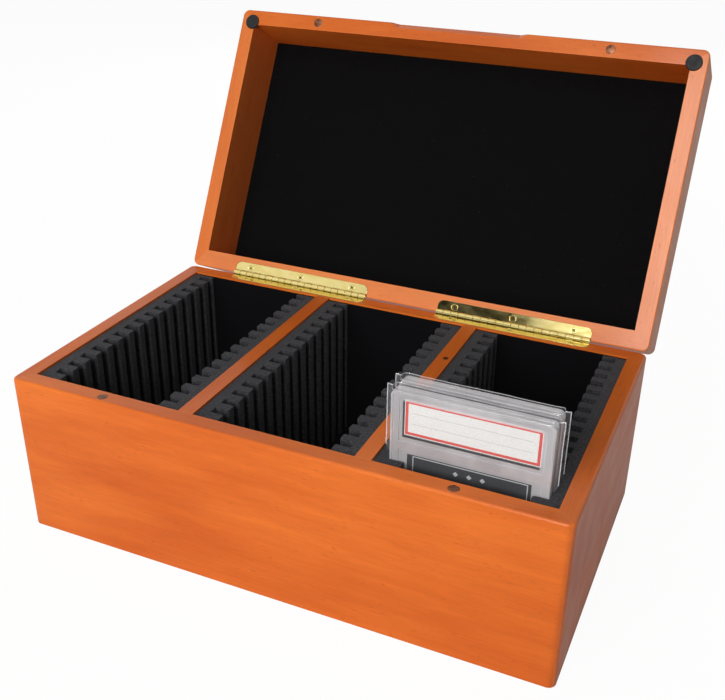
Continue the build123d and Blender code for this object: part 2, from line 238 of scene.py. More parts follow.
class Finish(Nodes):
    """A node material in the making."""

    def __init__(self, name):
        self.material = bpy.data.materials.new(name)
        self.material.use_nodes = True
        super().__init__(self.material.node_tree)
        self.tree.nodes.clear()
        self.output = self.tree.nodes.new("ShaderNodeOutputMaterial")

    def place(self, turn=Matrix.Identity(4), origin=(0, 0, 0)):
        """Millimetres along the axes of turn, from origin, riding with the piece."""
        coordinates = self.node("ShaderNodeTexCoord").outputs["Object"]
        mapping = self.node("ShaderNodeMapping", {"Vector": coordinates}, vector_type="TEXTURE")
        mapping.inputs["Location"].default_value = [MM * c for c in origin]
        mapping.inputs["Rotation"].default_value = turn.to_euler()
        mapping.inputs["Scale"].default_value = (MM, MM, MM)
        return mapping.outputs["Vector"]

    def stretch(self, vector, sizes):
        """The vector counted in features of the given sizes."""
        inputs = {"Vector": vector, "Scale": [1 / size for size in sizes]}
        return self.node("ShaderNodeMapping", inputs).outputs["Vector"]

    def noise(self, vector, sizes, detail=2.0, roughness=0.5, distortion=0.0):
        """Soft noise whose features have the given sizes."""
        inputs = {"Vector": self.stretch(vector, sizes), "Scale": 1.0, "Detail": detail}
        inputs.update({"Roughness": roughness, "Distortion": distortion})
        return self.node("ShaderNodeTexNoise", inputs).outputs["Fac"]

    def cells(self, vector, sizes):
        """The distance to the nearest of many scattered cell middles."""
        inputs = {"Vector": self.stretch(vector, sizes), "Scale": 1.0}
        return self.node("ShaderNodeTexVoronoi", inputs, feature="F1").outputs["Distance"]

    def reach(self, vector):
        """How far a point is from the vector's origin."""
        return self.node("ShaderNodeVectorMath", {"Vector": vector}, operation="LENGTH").outputs["Value"]

    def ramp(self, value, low, high, out_low=0.0, out_high=1.0):
        """A smooth step from one value to another."""
        inputs = {"Value": value, "From Min": low, "From Max": high, "To Min": out_low, "To Max": out_high}
        return self.node("ShaderNodeMapRange", inputs, interpolation_type="SMOOTHSTEP").outputs["Result"]

    def mix(self, amount, a, b, kind="MIX"):
        made = self.node("ShaderNodeMix", data_type="RGBA", blend_type=kind)
        self.feed(made.inputs["Factor"], amount)
        self.feed(made.inputs[6], a if isinstance(a, bpy.types.NodeSocket) else (*a, 1.0))
        self.feed(made.inputs[7], b if isinstance(b, bpy.types.NodeSocket) else (*b, 1.0))
        return made.outputs[2]

    def grey(self, value):
        """A colour of three equal channels."""
        channels = {"Red": value, "Green": value, "Blue": value}
        return self.node("ShaderNodeCombineColor", channels).outputs[0]

    def bump(self, height, distance, strength=1.0):
        inputs = {"Height": height, "Distance": distance * MM, "Strength": strength}
        return self.node("ShaderNodeBump", inputs).outputs["Normal"]

    def edge(self, radius, low=0.02, high=0.35):
        """1 near sharp edges, 0 on flats."""
        bevel = self.node("ShaderNodeBevel", {"Radius": radius * MM}, samples=4)
        plain = self.node("ShaderNodeNewGeometry")
        dot = self.node("ShaderNodeVectorMath", operation="DOT_PRODUCT")
        self.feed(dot.inputs[0], bevel.outputs["Normal"])
        self.feed(dot.inputs[1], plain.outputs["Normal"])
        return self.ramp(self.math("SUBTRACT", 1.0, dot.outputs["Value"]), low, high)

    def shade(self, **inputs):
        """Ends the material in a Principled shader."""
        names = {}
        for key, value in inputs.items():
            names[key.replace("_", " ").title().replace("Ior", "IOR")] = value
        shader = self.node("ShaderNodeBsdfPrincipled", names)
        self.feed(self.output.inputs["Surface"], shader.outputs["BSDF"])
        return self.material


def rgb(*channels):
    """A colour as written on a screen, from 0 to 255, as the shader takes it."""
    linear = []
    for channel in channels:
        share = channel / 255
        linear.append(share / 12.92 if share <= 0.04045 else ((share + 0.055) / 1.055) ** 2.4)
    return tuple(linear)


def lacquered(name, turn, origin, knot=None, pale=0.0):
    """Stained, lacquered hardwood with its grain along the x axis of turn.

    knot is the place of a small dark knot, and pale is the share of painted light: a paler orange on boards
    that catch more light.
    """
    f = Finish(name)
    at = f.place(turn, origin)
    cloud = f.noise(at, (190, 60, 60), detail=1)
    figure = f.noise(at, (60, 9, 9), detail=3, distortion=0.3)
    fibre = f.noise(at, (14, 0.7, 0.7), detail=4, roughness=0.6)
    fleck = f.noise(at, (5.5, 0.8, 0.8), detail=2, roughness=0.55)
    patch = f.noise(at, (30, 12, 12), detail=1)
    blend = f.math("ADD", f.math("MULTIPLY", cloud, 0.6), f.math("MULTIPLY", figure, 0.4))
    colour = f.mix(f.ramp(blend, 0.24, 0.76), rgb(203, 91, 24), rgb(231, 119, 42))
    # Painted light: a share of paler orange on the boards that catch more light.
    colour = f.mix(pale, colour, rgb(255, 176, 118))
    grain = f.ramp(fibre, 0.3, 0.72, 0.94, 1.04)
    colour = f.mix(1.0, colour, f.grey(grain), "MULTIPLY")
    strokes = f.math("MULTIPLY", f.ramp(fleck, 0.62, 0.74), f.ramp(patch, 0.42, 0.62))
    colour = f.mix(f.math("MULTIPLY", strokes, 0.5), colour, rgb(120, 45, 15))
    if knot:
        spot = f.ramp(f.reach(f.place(origin=knot)), *KNOT_RADII, 0.95, 0.0)
        colour = f.mix(spot, colour, rgb(38, 16, 10))
    # Painted highlight along the rounded edges, partly edge wear: the colour turns a paler orange near
    # every edge.
    edge = f.edge(1.4)
    colour = f.mix(f.math("MULTIPLY", edge, 0.35), colour, rgb(240, 140, 72))
    ripple = f.noise(at, (3.5, 2.5, 2.5), detail=2)
    height = f.math("ADD", f.math("MULTIPLY", fibre, 0.5), f.math("MULTIPLY", ripple, 0.6))
    height = f.math("SUBTRACT", height, f.math("MULTIPLY", strokes, 0.5))
    gloss = f.ramp(f.noise(at, (25, 18, 18), detail=3), 0.3, 0.7, 0.36, 0.46)
    return f.shade(
        base_color=colour, roughness=gloss, specular_ior_level=0.2, normal=f.bump(height, 0.02, 0.5),
        coat_weight=0.2, coat_roughness=0.12, coat_ior=1.5,
    )


def foam(name):
    """Charcoal closed-cell foam, cut edges a little paler with open cells."""
    f = Finish(name)
    at = f.place()
    cells = f.cells(at, (0.55, 0.55, 0.6))
    coarse = f.noise(at, (1.3, 1.3, 1.3), detail=4, roughness=0.65)
    cloud = f.noise(at, (14, 14, 14), detail=2)
    colour = f.mix(f.ramp(coarse, 0.35, 0.7), rgb(42, 42, 45), rgb(74, 74, 78))
    colour = f.mix(f.ramp(cells, 0.0, 0.35, 0.55, 0.0), colour, rgb(12, 12, 13))
    colour = f.mix(f.ramp(cloud, 0.35, 0.65, 0.0, 0.25), colour, rgb(34, 34, 37))
    edge = f.edge(0.7, 0.03, 0.3)
    specks = f.ramp(f.noise(at, (0.45, 0.45, 0.45), detail=1), 0.52, 0.62)
    colour = f.mix(f.math("MULTIPLY", f.math("MULTIPLY", edge, specks), 0.6), colour, rgb(128, 128, 132))
    height = f.math("ADD", cells, f.math("MULTIPLY", coarse, 0.8))
    return f.shade(
        base_color=colour, roughness=0.92, specular_ior_level=0.2, normal=f.bump(height, 0.22, 0.8),
        sheen_weight=0.08, sheen_roughness=0.5,
    )


def felt(name, shade, lint=0.0):
    """Black cloth lining with a short nap and the odd speck of lint."""
    f = Finish(name)
    at = f.place()
    nap = f.noise(at, (0.5, 0.5, 0.5), detail=4, roughness=0.7)
    brushed = f.noise(at, (22, 9, 14), detail=3)
    colour = f.mix(f.ramp(nap, 0.35, 0.7), rgb(*[c * 0.6 for c in shade]), rgb(*[c * 1.5 for c in shade]))
    colour = f.mix(f.ramp(brushed, 0.35, 0.65, 0.0, 0.4), colour, rgb(*[c * 1.25 for c in shade]))
    specks = f.ramp(f.noise(at, (1.1, 1.1, 1.1), detail=0), 0.86, 0.9, 0.0, lint)
    colour = f.mix(specks, colour, rgb(90, 90, 92))
    return f.shade(base_color=colour, roughness=1.0, specular_ior_level=0.12, normal=f.bump(nap, 0.12, 0.7))


def brass(name):
    """Polished brass plate with faint smears and hairline scratches."""
    f = Finish(name)
    at = f.place()
    smear = f.noise(at, (9, 4, 4), detail=3)
    lines = f.noise(at, (9, 0.12, 0.12), detail=2)
    spots = f.ramp(f.noise(at, (0.8, 0.8, 0.8), detail=2), 0.66, 0.74)
    colour = f.mix(f.ramp(smear, 0.3, 0.7), rgb(226, 206, 128), rgb(236, 219, 150))
    colour = f.mix(f.math("MULTIPLY", spots, 0.3), colour, rgb(160, 128, 62))
    # Painted shade: the colour darkens to brown-black in knuckle gaps and crevices, where little light
    # reaches.
    open_air = f.node("ShaderNodeAmbientOcclusion", {"Distance": 1.5 * MM}, samples=6).outputs["AO"]
    colour = f.mix(f.ramp(open_air, 0.4, 0.82, 0.95, 0.0), colour, rgb(46, 34, 14))
    gloss = f.ramp(smear, 0.3, 0.75, 0.08, 0.14)
    return f.shade(base_color=colour, metallic=1.0, roughness=gloss, normal=f.bump(lines, 0.0012, 0.4))


def nickel(name):
    """Nickel on the magnets' faces, coloured brown with blotches."""
    f = Finish(name)
    at = f.place()
    blotch = f.noise(at, (1.6, 1.6, 1.6), detail=4, roughness=0.6)
    colour = f.mix(f.ramp(blotch, 0.35, 0.65), rgb(96, 52, 32), rgb(140, 92, 66))
    gloss = f.ramp(blotch, 0.3, 0.7, 0.3, 0.5)
    return f.shade(base_color=colour, metallic=0.7, roughness=gloss, normal=f.bump(blotch, 0.03, 0.5))


def rubber(name):
    """Black rubber."""
    f = Finish(name)
    at = f.place()
    grain = f.noise(at, (0.35, 0.35, 0.35), detail=3)
    cloud = f.noise(at, (4, 4, 4), detail=2)
    colour = f.mix(f.ramp(cloud, 0.3, 0.7), rgb(13, 13, 14), rgb(26, 26, 28))
    gloss = f.ramp(cloud, 0.3, 0.7, 0.55, 0.72)
    return f.shade(
        base_color=colour, roughness=gloss, specular_ior_level=0.35, normal=f.bump(grain, 0.04, 0.5),
    )


def panel_wood(name, turn):
    """Plain stained ply on the underside and behind the lining."""
    f = Finish(name)
    at = f.place(turn)
    figure = f.noise(at, (70, 8, 8), detail=4, distortion=0.6)
    fibre = f.noise(at, (16, 0.6, 0.6), detail=4)
    colour = f.mix(f.ramp(figure, 0.35, 0.65), rgb(150, 84, 42), rgb(182, 112, 62))
    colour = f.mix(f.ramp(fibre, 0.4, 0.7, 0.0, 0.3), colour, rgb(118, 62, 28))
    return f.shade(base_color=colour, roughness=0.62, normal=f.bump(fibre, 0.05, 0.6))


def clear(name, tint, body, facing, gloss, scale=14.0, rim=0.0):
    """Clear plastic, which covers more at a slant than squarely: shares body and facing.

    rim is how much it whitens along its edges, partly frosted plastic and partly a painted highlight.
    """
    f = Finish(name)
    at = f.place()
    haze = f.noise(at, (scale, scale, scale * 2.5), detail=2)
    scuff = f.noise(at, (0.5, 0.5, 9), detail=2)
    slant = f.node("ShaderNodeLayerWeight", {"Blend": 0.35}).outputs["Facing"]
    cover = f.math("ADD", f.ramp(slant, 0.2, 1.0, body, facing), f.ramp(haze, 0.4, 0.75, 0.0, body * 0.25))
    colour = f.mix(f.ramp(haze, 0.3, 0.7), [0.94 * c for c in tint], tint)
    if rim:
        # Whitening along the edges: partly frosted plastic, partly painted highlight.
        edge = f.math("MULTIPLY", f.edge(0.45), rim)
        cover = f.math("ADD", cover, edge)
        colour = f.mix(edge, colour, (0.95, 0.95, 0.97))
    cover = f.math("MINIMUM", cover, 1.0)
    return f.shade(
        base_color=colour, roughness=gloss, specular_ior_level=0.8, alpha=cover,
        normal=f.bump(scuff, 0.006, 0.4), coat_weight=1.0, coat_roughness=0.04,
    )


def on_paper(f, x, y, paper):
    """A point on a holder's paper: its coordinates, x, height over the middle, and inset."""
    width, height, rise = paper
    at = f.place(origin=(x, y, SLAB_SEAT + rise + height / 2))
    split = f.node("ShaderNodeSeparateXYZ", {"Vector": at})
    beside = f.math("SUBTRACT", width / 2, f.math("ABSOLUTE", split.outputs["X"]))
    over = f.math("SUBTRACT", height / 2, f.math("ABSOLUTE", split.outputs["Z"]))
    return at, split.outputs["X"], split.outputs["Z"], f.math("MINIMUM", beside, over)


def band(f, inset, start, width, blur):
    """1 on a band that starts at an inset, with soft edges."""
    end = start + width
    return f.math("MULTIPLY", f.ramp(inset, start - blur, start), f.ramp(inset, end + blur, end))


# The card's print
LINE_INSET = 2.0
LINE_WIDTH = 0.4
LINE_BLUR = 0.1
GEM_SPACING = 7.0
GEM_DROP = 6.4
GEM_REACH = 1.5
GEM_BLUR = 0.15
GEM_ROW_HALF = 12.4


def printed_card(name, x, y):
    """A plain dark card: a silver frame line and a row of small diamonds."""
    f = Finish(name)
    at, along, up, inset = on_paper(f, x, y, CARD)
    line = band(f, inset, LINE_INSET, LINE_WIDTH, LINE_BLUR)
    beside_gem = f.math("PINGPONG", along, GEM_SPACING / 2)
    over_gem = f.math("ABSOLUTE", f.math("SUBTRACT", up, CARD[1] / 2 - GEM_DROP))
    gem = f.ramp(f.math("ADD", beside_gem, over_gem), GEM_REACH, GEM_REACH - GEM_BLUR)
    row = f.ramp(f.math("ABSOLUTE", along), GEM_ROW_HALF, GEM_ROW_HALF - LINE_BLUR)
    ink = f.math("MAXIMUM", line, f.math("MULTIPLY", gem, row))
    screen = f.noise(at, (0.3, 0.3, 0.3), detail=2)
    field = f.mix(f.ramp(screen, 0.3, 0.7), rgb(12, 13, 18), rgb(22, 24, 32))
    colour = f.mix(ink, field, rgb(196, 200, 205))
    return f.shade(
        base_color=colour, roughness=0.28, specular_ior_level=0.5, normal=f.bump(screen, 0.004, 0.5),
    )


# The label's print
BAND_INSET = 0.5
BAND_WIDTH = 1.35
BAND_BLUR = 0.15
RULE_RISE = 3.0
RULE_HALF = 0.08
RULE_MARGIN = 4.2
RULE_BLUR = 0.2


def printed_label(name, x, y):
    """A blank white label with a red frame and two empty ruled lines."""
    f = Finish(name)
    at, _, up, inset = on_paper(f, x, y, LABEL)
    fibres = f.noise(at, (0.8, 0.8, 0.8), detail=4)
    paper = f.mix(f.ramp(fibres, 0.3, 0.7), rgb(226, 224, 220), rgb(240, 239, 236))
    ink = f.mix(f.ramp(fibres, 0.35, 0.65), rgb(212, 52, 44), rgb(226, 72, 60))
    colour = f.mix(band(f, inset, BAND_INSET, BAND_WIDTH, BAND_BLUR), paper, ink)
    off_rule = f.math("ABSOLUTE", f.math("SUBTRACT", f.math("ABSOLUTE", up), RULE_RISE))
    rule = f.ramp(off_rule, 2 * RULE_HALF, RULE_HALF)
    rule = f.math("MULTIPLY", rule, f.ramp(inset, RULE_MARGIN, RULE_MARGIN + RULE_BLUR))
    colour = f.mix(f.math("MULTIPLY", rule, 0.5), colour, rgb(120, 122, 128))
    return f.shade(base_color=colour, roughness=0.5, normal=f.bump(fibres, 0.01, 0.4))


ALONG = Matrix.Identity(4)
ACROSS = Matrix.Rotation(pi / 2, 4, "Z")
LID_TURN = Matrix.Rotation(radians(-LID_ANGLE), 4, "X")

# Each board's grain direction, and where in the figured log it is cut
WOODS = {
    "body_front_panel": (ALONG, (0, 0, 40)),
    "body_back_panel": (ALONG, (310, 20, 700)),
    "body_left_panel": (ACROSS, (90, 400, 130)),
    "body_right_panel": (ACROSS, (520, 60, 310)),
    "divider_1": (ACROSS, (37, 640, 210)),
    "divider_2": (ACROSS, (811, 320, 150)),
    "lid_front_rail": (LID_TURN, (40, 530, 90)),
    "lid_back_rail": (LID_TURN, (610, 130, 350)),
    "lid_left_rail": (LID_TURN @ ACROSS, (230, 710, 60)),
    "lid_right_rail": (LID_TURN @ ACROSS, (150, 90, 480)),
    "lid_top_panel": (LID_TURN, (930, 210, 20)),
}

# A small dark knot in a divider's top
KNOTS = {"divider_2": (53.2, 35.1, 101.0)}
KNOT_RADII = (1.4, 2.1)

# Lid rails with painted light, a paler colour where they catch more of the lamps, and how much paler
RAIL_PAINTED_LIGHT = {"lid_back_rail": 0.3, "lid_right_rail": 0.24, "lid_left_rail": 0.12}

FOAM_ROUND = 0.45

foam_finish = foam("foam_cells")
lining_finish = felt("lining_cloth", (9, 9, 11))
lid_cloth_finish = felt("lid_cloth", (9, 9, 10), lint=0.25)
base_cloth_finish = felt("base_cloth", (20, 20, 21), lint=0.3)
brass_finish = brass("polished_brass")
nickel_finish = nickel("dull_nickel")
rubber_finish = rubber("black_rubber")
# The frame's pale grey cover is partly frosted plastic and partly painted reflection of the bright
# surroundings.
frame_plastic = clear("holder_frame", (0.84, 0.81, 0.83), 0.45, 0.85, 0.14, rim=0.8)
window_plastic = clear("holder_window", (0.85, 0.86, 0.88), 0.02, 0.3, 0.08)
film = clear("sleeve_film", (0.85, 0.86, 0.9), 0.02, 0.3, 0.1, scale=5.0)
film_edge = clear("sleeve_edge", (0.9, 0.9, 0.93), 0.25, 0.75, 0.12, scale=3.0)


def dress(name, material):
    """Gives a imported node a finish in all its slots."""
    thing = nodes[name]
    if not thing.material_slots:
        thing.data.materials.append(material)
    for place in thing.material_slots:
        place.material = material


for board, (turn, origin) in WOODS.items():
    dress(board, lacquered(f"lacquered_{board}", turn, origin, KNOTS.get(board), RAIL_PAINTED_LIGHT.get(board, 0.0)))
dress("body_bottom_panel", panel_wood("ply_bottom", ALONG))
dress("base_felt", base_cloth_finish)
dress("lid_liner", lid_cloth_finish)
for k in (1, 2, 3):
    dress(f"liner_{k}", lining_finish)
    for hand in ("left", "right"):
        dress(f"foam_rail_{k}_{hand}", foam_finish)
        soften(nodes[f"foam_rail_{k}_{hand}"], FOAM_ROUND, segments=3, weld=True)
for slab, (x, y) in SLABS.items():
    dress(f"{slab}_card", printed_card(f"{slab}_card_print", x, y))
    dress(f"{slab}_label", printed_label(f"{slab}_label_print", x, y))


# ---------------------------------------------------------------- hinges


LEAF_BED = RIM_DROP + LEAF_THICKNESS
PITCH = HINGE_LENGTH / KNUCKLES
SCREWS_X = (-SCREW_SPREAD, 0, SCREW_SPREAD)
CORNER_STEPS = 5
TOOTH_ROOT = 1.2
ROLL_SEAM = 2.6
ROLL_STEPS = 22
GROOVE_WIDTH = 0.25
GROOVE_DEPTH = 0.35
HAIR = 0.02
LEAF_ROUND = 0.12
SCREW_ROUND = 0.05
HEAD_CHAMFER = 0.12
TIP_LENGTH = 2.0
TIP_RADIUS = 0.3
RECESS_MOUTH = (1.25, 0.62)
RECESS_FLOOR = (0.7, 0.36)
RECESS_DEPTH = 0.85
PIN_DOME = 0.35


def hinge_places(x):
    """The leaf frames of the hinge at x: on its axis, +z from the wood to the axis."""
    on_body = Matrix.Translation((x, HINGE_Y, HINGE_Z))
    on_lid = Matrix.Translation((x, HINGE_Y, HINGE_Z)) @ Matrix.Rotation(radians(-LID_ANGLE), 4, "X")
    return on_body, on_lid @ Matrix.Rotation(pi, 4, "Y")


def brass_piece(name, bm, place, body, bevel=0.0):
    """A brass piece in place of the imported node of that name."""
    piece(f"fine_{name}", bm, [brass_finish], body, place, bevel=bevel, stands_for=(name,))


def knuckle_spans():
    """Where a leaf's own knuckles, every second one, start and end along the hinge."""
    starts = [k * PITCH - HINGE_LENGTH / 2 + KNUCKLE_GAP / 2 for k in range(1, KNUCKLES, 2)]
    return [(start, start + PITCH - KNUCKLE_GAP) for start in starts]


def leaf_corner(x, y, start):
    """A round corner's points, from an angle given in quarter turns."""
    angles = [(start + k / CORNER_STEPS) * pi / 2 for k in range(CORNER_STEPS + 1)]
    return [(x + LEAF_CORNER * cos(angle), y + LEAF_CORNER * sin(angle)) for angle in angles]


def leaf_outline():
    """A leaf from above: two round corners, and teeth that reach into its knuckles."""
    half = HINGE_LENGTH / 2
    y = LEAF_CORNER - LEAF_WIDTH
    outline = leaf_corner(LEAF_CORNER - half, y, 2) + leaf_corner(half - LEAF_CORNER, y, 3)
    outline.append((half, -COVE_RADIUS))
    for start, end in reversed(knuckle_spans()):
        outline += [(end, -COVE_RADIUS), (end, -TOOTH_ROOT)]
        outline += [(start, -TOOTH_ROOT), (start, -COVE_RADIUS)]
    outline.append((-half, -COVE_RADIUS))
    return outline


def roll_profile():
    """A knuckle's section: from under the leaf round the pin, and back to the leaf's face."""
    first = atan2(-LEAF_BED, -sqrt(BARREL_RADIUS ** 2 - LEAF_BED ** 2))
    last = pi + atan2(RIM_DROP, sqrt(BARREL_RADIUS ** 2 - RIM_DROP ** 2))
    profile = [(-ROLL_SEAM, -LEAF_BED)]
    for k in range(ROLL_STEPS + 1):
        angle = first + (last - first) * k / ROLL_STEPS
        profile.append((BARREL_RADIUS * cos(angle), BARREL_RADIUS * sin(angle)))
    profile.append((-BARREL_RADIUS - HAIR, -RIM_DROP - GROOVE_DEPTH))
    profile.append((-BARREL_RADIUS - GROOVE_WIDTH, -RIM_DROP - HAIR))
    profile.append((-ROLL_SEAM, -RIM_DROP - HAIR))
    return profile


def hinge_leaf(name, place, body):
    """A leaf with its comb of rolled knuckles and countersunk holes."""
    bm = bmesh.new()
    low = loop(bm, leaf_outline(), -LEAF_BED)
    high = loop(bm, leaf_outline(), -RIM_DROP)
    wall(bm, low, high)
    low_holes = []
    high_holes = []
    for x in SCREWS_X:
        low_holes.append(loop(bm, circle(SCREW_SHANK_RADIUS + SCREW_PLAY, (x, -SCREW_ROW)), -LEAF_BED))
        high_holes.append(loop(bm, circle(SCREW_HEAD_RADIUS + SCREW_PLAY, (x, -SCREW_ROW)), -RIM_DROP))
        wall(bm, low_holes[-1], high_holes[-1])
    sheet(bm, low, low_holes)
    sheet(bm, high, high_holes)
    for start, end in knuckle_spans():
        left = [bm.verts.new((start, y, z)) for y, z in roll_profile()]
        right = [bm.verts.new((end, y, z)) for y, z in roll_profile()]
        wall(bm, left, right)
        bm.faces.new(left)
        bm.faces.new(right)
    brass_piece(name, bm, place, body, LEAF_ROUND)


def cross(reach, width):
    """The outline of a cross recess."""
    w = width / 2
    return [(reach, -w), (reach, w), (w, w), (w, reach), (-w, reach), (-w, w),
            (-reach, w), (-reach, -w), (-w, -w), (-w, -reach), (w, -reach), (w, -w)]


def hinge_screws(name, place, body, turns):
    """Three countersunk cross-head screws, each left at its own turn."""
    bm = bmesh.new()
    for x, turn in zip(SCREWS_X, turns):
        before = len(bm.verts)
        rim = loop(bm, circle(SCREW_HEAD_RADIUS - HEAD_CHAMFER), -HAIR)
        shoulder = loop(bm, circle(SCREW_HEAD_RADIUS), -HAIR - HEAD_CHAMFER)
        throat = loop(bm, circle(SCREW_SHANK_RADIUS), -LEAF_THICKNESS)
        foot = loop(bm, circle(SCREW_SHANK_RADIUS), TIP_LENGTH - SCREW_LENGTH)
        tip = loop(bm, circle(TIP_RADIUS), -SCREW_LENGTH)
        for a, b in ((shoulder, rim), (throat, shoulder), (foot, throat), (tip, foot)):
            wall(bm, a, b)
        bm.faces.new(tip)
        mouth = loop(bm, cross(*RECESS_MOUTH), -HAIR)
        bottom = loop(bm, cross(*RECESS_FLOOR), -RECESS_DEPTH)
        wall(bm, bottom, mouth)
        bm.faces.new(bottom)
        sheet(bm, rim, [mouth])
        spot = Matrix.Translation((x, -SCREW_ROW, -RIM_DROP)) @ Matrix.Rotation(radians(turn), 4, "Z")
        for vertex in list(bm.verts)[before:]:
            vertex.co = spot @ vertex.co
    brass_piece(name, bm, place, body, SCREW_ROUND)


def hinge_pin(name, place, body):
    """The pin, with domed ends just proud of the barrel."""
    bm = bmesh.new()
    end = HINGE_LENGTH / 2
    dome = [(PIN_RADIUS * cos(angle), end + PIN_DOME * sin(angle)) for angle in (0, 0.4, 0.8, 1.2)]
    dome.append((0, end + PIN_DOME))
    profile = [(r, -z) for r, z in reversed(dome)] + dome
    lathe(bm, profile, Matrix.Rotation(pi / 2, 4, "Y"), steps=20)
    brass_piece(name, bm, place, body)


for hand, x, turns in (("left", -HINGE_X, (12, 64, 38)), ("right", HINGE_X, (75, 20, 50))):
    on_body, on_lid = hinge_places(x)
    hinge_leaf(f"hinge_{hand}_body_leaf", on_body, "case")
    hinge_leaf(f"hinge_{hand}_lid_leaf", on_lid, "lid")
    hinge_screws(f"hinge_{hand}_body_screws", on_body, "case", turns)
    hinge_screws(f"hinge_{hand}_lid_screws", on_lid, "lid", turns[::-1])
    hinge_pin(f"hinge_{hand}_pin", on_body, "case")


# ---------------------------------------------------------------- card holders


HOLDER_LIP = 1.1
LIP_DROP = 0.5
LIP_SLOPE = 0.3
FACE_CHAMFER = 0.35
SEAM_CHAMFER = 0.25
SEAM_GAP = 0.03
LEAST_CORNER = 0.6
WINDOW_SINK = 1.1
WINDOW_CORNER = 1.5
WINDOW_SLOPE = 0.3
PANE_MARGIN = 0.2
PANE_CORNER = 0.5
WELL_CORNER = 0.8
HOLDER_ROUND = 0.12


def holder_ring(bm, inset, z):
    """The holder's outline, drawn in by inset, in its own plane."""
    corner = max(SLAB_CORNER - inset, LEAST_CORNER)
    middle = (0, SLAB_HEIGHT / 2)
    return loop(bm, rounded(SLAB_WIDTH - 2 * inset, SLAB_HEIGHT - 2 * inset, corner, middle), z)


def round_paper(paper, margin, corner):
    """A rounded rectangle round a holder's paper."""
    width, height, rise = paper
    return rounded(width + 2 * margin, height + 2 * margin, corner, (0, rise + height / 2))


def holder_window(bm, low, high, paper):
    """A sunk window between two heights, clear over the paper only; gives its rim."""
    width = SLAB_WIDTH - 2 * SLAB_BORDER
    height = high - low
    middle = (0, (low + high) / 2)
    rim = loop(bm, rounded(width, height, WINDOW_CORNER, middle), SLAB_HALF - LIP_DROP)
    inner = WINDOW_CORNER - WINDOW_SLOPE
    outline = rounded(width - 2 * WINDOW_SLOPE, height - 2 * WINDOW_SLOPE, inner, middle)
    bottom = loop(bm, outline, SLAB_HALF - WINDOW_SINK)
    wall(bm, bottom, rim)
    pane = loop(bm, round_paper(paper, PANE_MARGIN, PANE_CORNER), SLAB_HALF - WINDOW_SINK)
    sheet(bm, bottom, [pane])
    sheet(bm, pane, material=1)
    return rim


def holder_well(bm, paper):
    """A shallow well that takes the paper, on the inner side; gives its rim."""
    outline = round_paper(paper, PAPER_PLAY, WELL_CORNER)
    rim = loop(bm, outline, SEAM_GAP)
    bottom = loop(bm, outline, WELL_DEPTH + HAIR)
    wall(bm, rim, bottom)
    sheet(bm, bottom, material=1)
    return rim


def holder_half(name, place, wells):
    """A half shell: a raised lip, a lowered frame, two sunk windows, wells for the paper."""
    bm = bmesh.new()
    rings = [
        holder_ring(bm, SEAM_CHAMFER, SEAM_GAP),
        holder_ring(bm, 0.0, SEAM_GAP + SEAM_CHAMFER),
        holder_ring(bm, 0.0, SLAB_HALF - FACE_CHAMFER),
        holder_ring(bm, FACE_CHAMFER, SLAB_HALF),
        holder_ring(bm, HOLDER_LIP, SLAB_HALF),
        holder_ring(bm, HOLDER_LIP + LIP_SLOPE, SLAB_HALF - LIP_DROP),
    ]
    for a, b in zip(rings, rings[1:]):
        wall(bm, a, b)
    windows = [
        holder_window(bm, SLAB_BORDER, RIDGE_RISE - SLAB_BORDER / 2, CARD),
        holder_window(bm, RIDGE_RISE + SLAB_BORDER / 2, SLAB_HEIGHT - SLAB_BORDER, LABEL),
    ]
    sheet(bm, rings[-1], windows)
    holes = [holder_well(bm, paper) for paper in (CARD, LABEL)] if wells else []
    sheet(bm, rings[0], holes, material=1)
    piece(f"fine_{name}", bm, [frame_plastic, window_plastic], "case", place, bevel=HOLDER_ROUND,
          stands_for=(name,))


# ---------------------------------------------------------------- sleeves


FOAM_TOP = 100.2
FILM = 0.06
SLEEVE_FLAT = 39.6
SLEEVE_SNUG = 41.25
SLEEVE_FIN = 3.0
SLEEVE_TOP = 0.7
SLEEVE_PLAY = 0.1
SLEEVE_SLACK = 0.3
SNUG_HEIGHTS = (5.2, 40.0, 80.0, 92.0, 96.0, 98.5)
FREE_ROWS = 26
LIP_HEIGHT = 0.5
FLAT_STEPS = 12
FIN_SHARES = (0.4, 0.85, 1.0)
FIN_STAND = 0.12
FIN_TAPER = 0.03
SEAM_SHARE = 0.8
LOOSE_START = -1.0
LOOSE_SPAN = 8.0
WAVE = 0.32
CREASE = 0.1
FLUTTER = 0.9
EAR_RISE = 0.8
MOUTH_WAVE = 0.3


def sleeve_section(fin, stand):
    """A quarter of the bag seen from above: flat on the holder, round its edge, then a fin."""
    points = [(SLEEVE_FLAT * k / FLAT_STEPS, stand) for k in range(FLAT_STEPS + 1)]
    for k in range(1, CORNER_STEPS + 1):
        angle = pi / 2 * k / CORNER_STEPS
        x = SLEEVE_FLAT + (SLEEVE_SNUG - SLEEVE_FLAT) * sin(angle)
        points.append((x, FIN_STAND + (stand - FIN_STAND) * cos(angle)))
    for k, share in enumerate(FIN_SHARES, 1):
        points.append((SLEEVE_SNUG + fin * share, FIN_STAND - FIN_TAPER * k))
    return points


def whole_ring(quarter):
    """The ring that a quarter and its three mirror images make."""
    ring = [(x, -y) for x, y in quarter]
    ring += [(x, y) for x, y in reversed(quarter)]
    ring += [(-x, y) for x, y in quarter[1:]]
    ring += [(-x, -y) for x, y in reversed(quarter[1:])]
    return ring


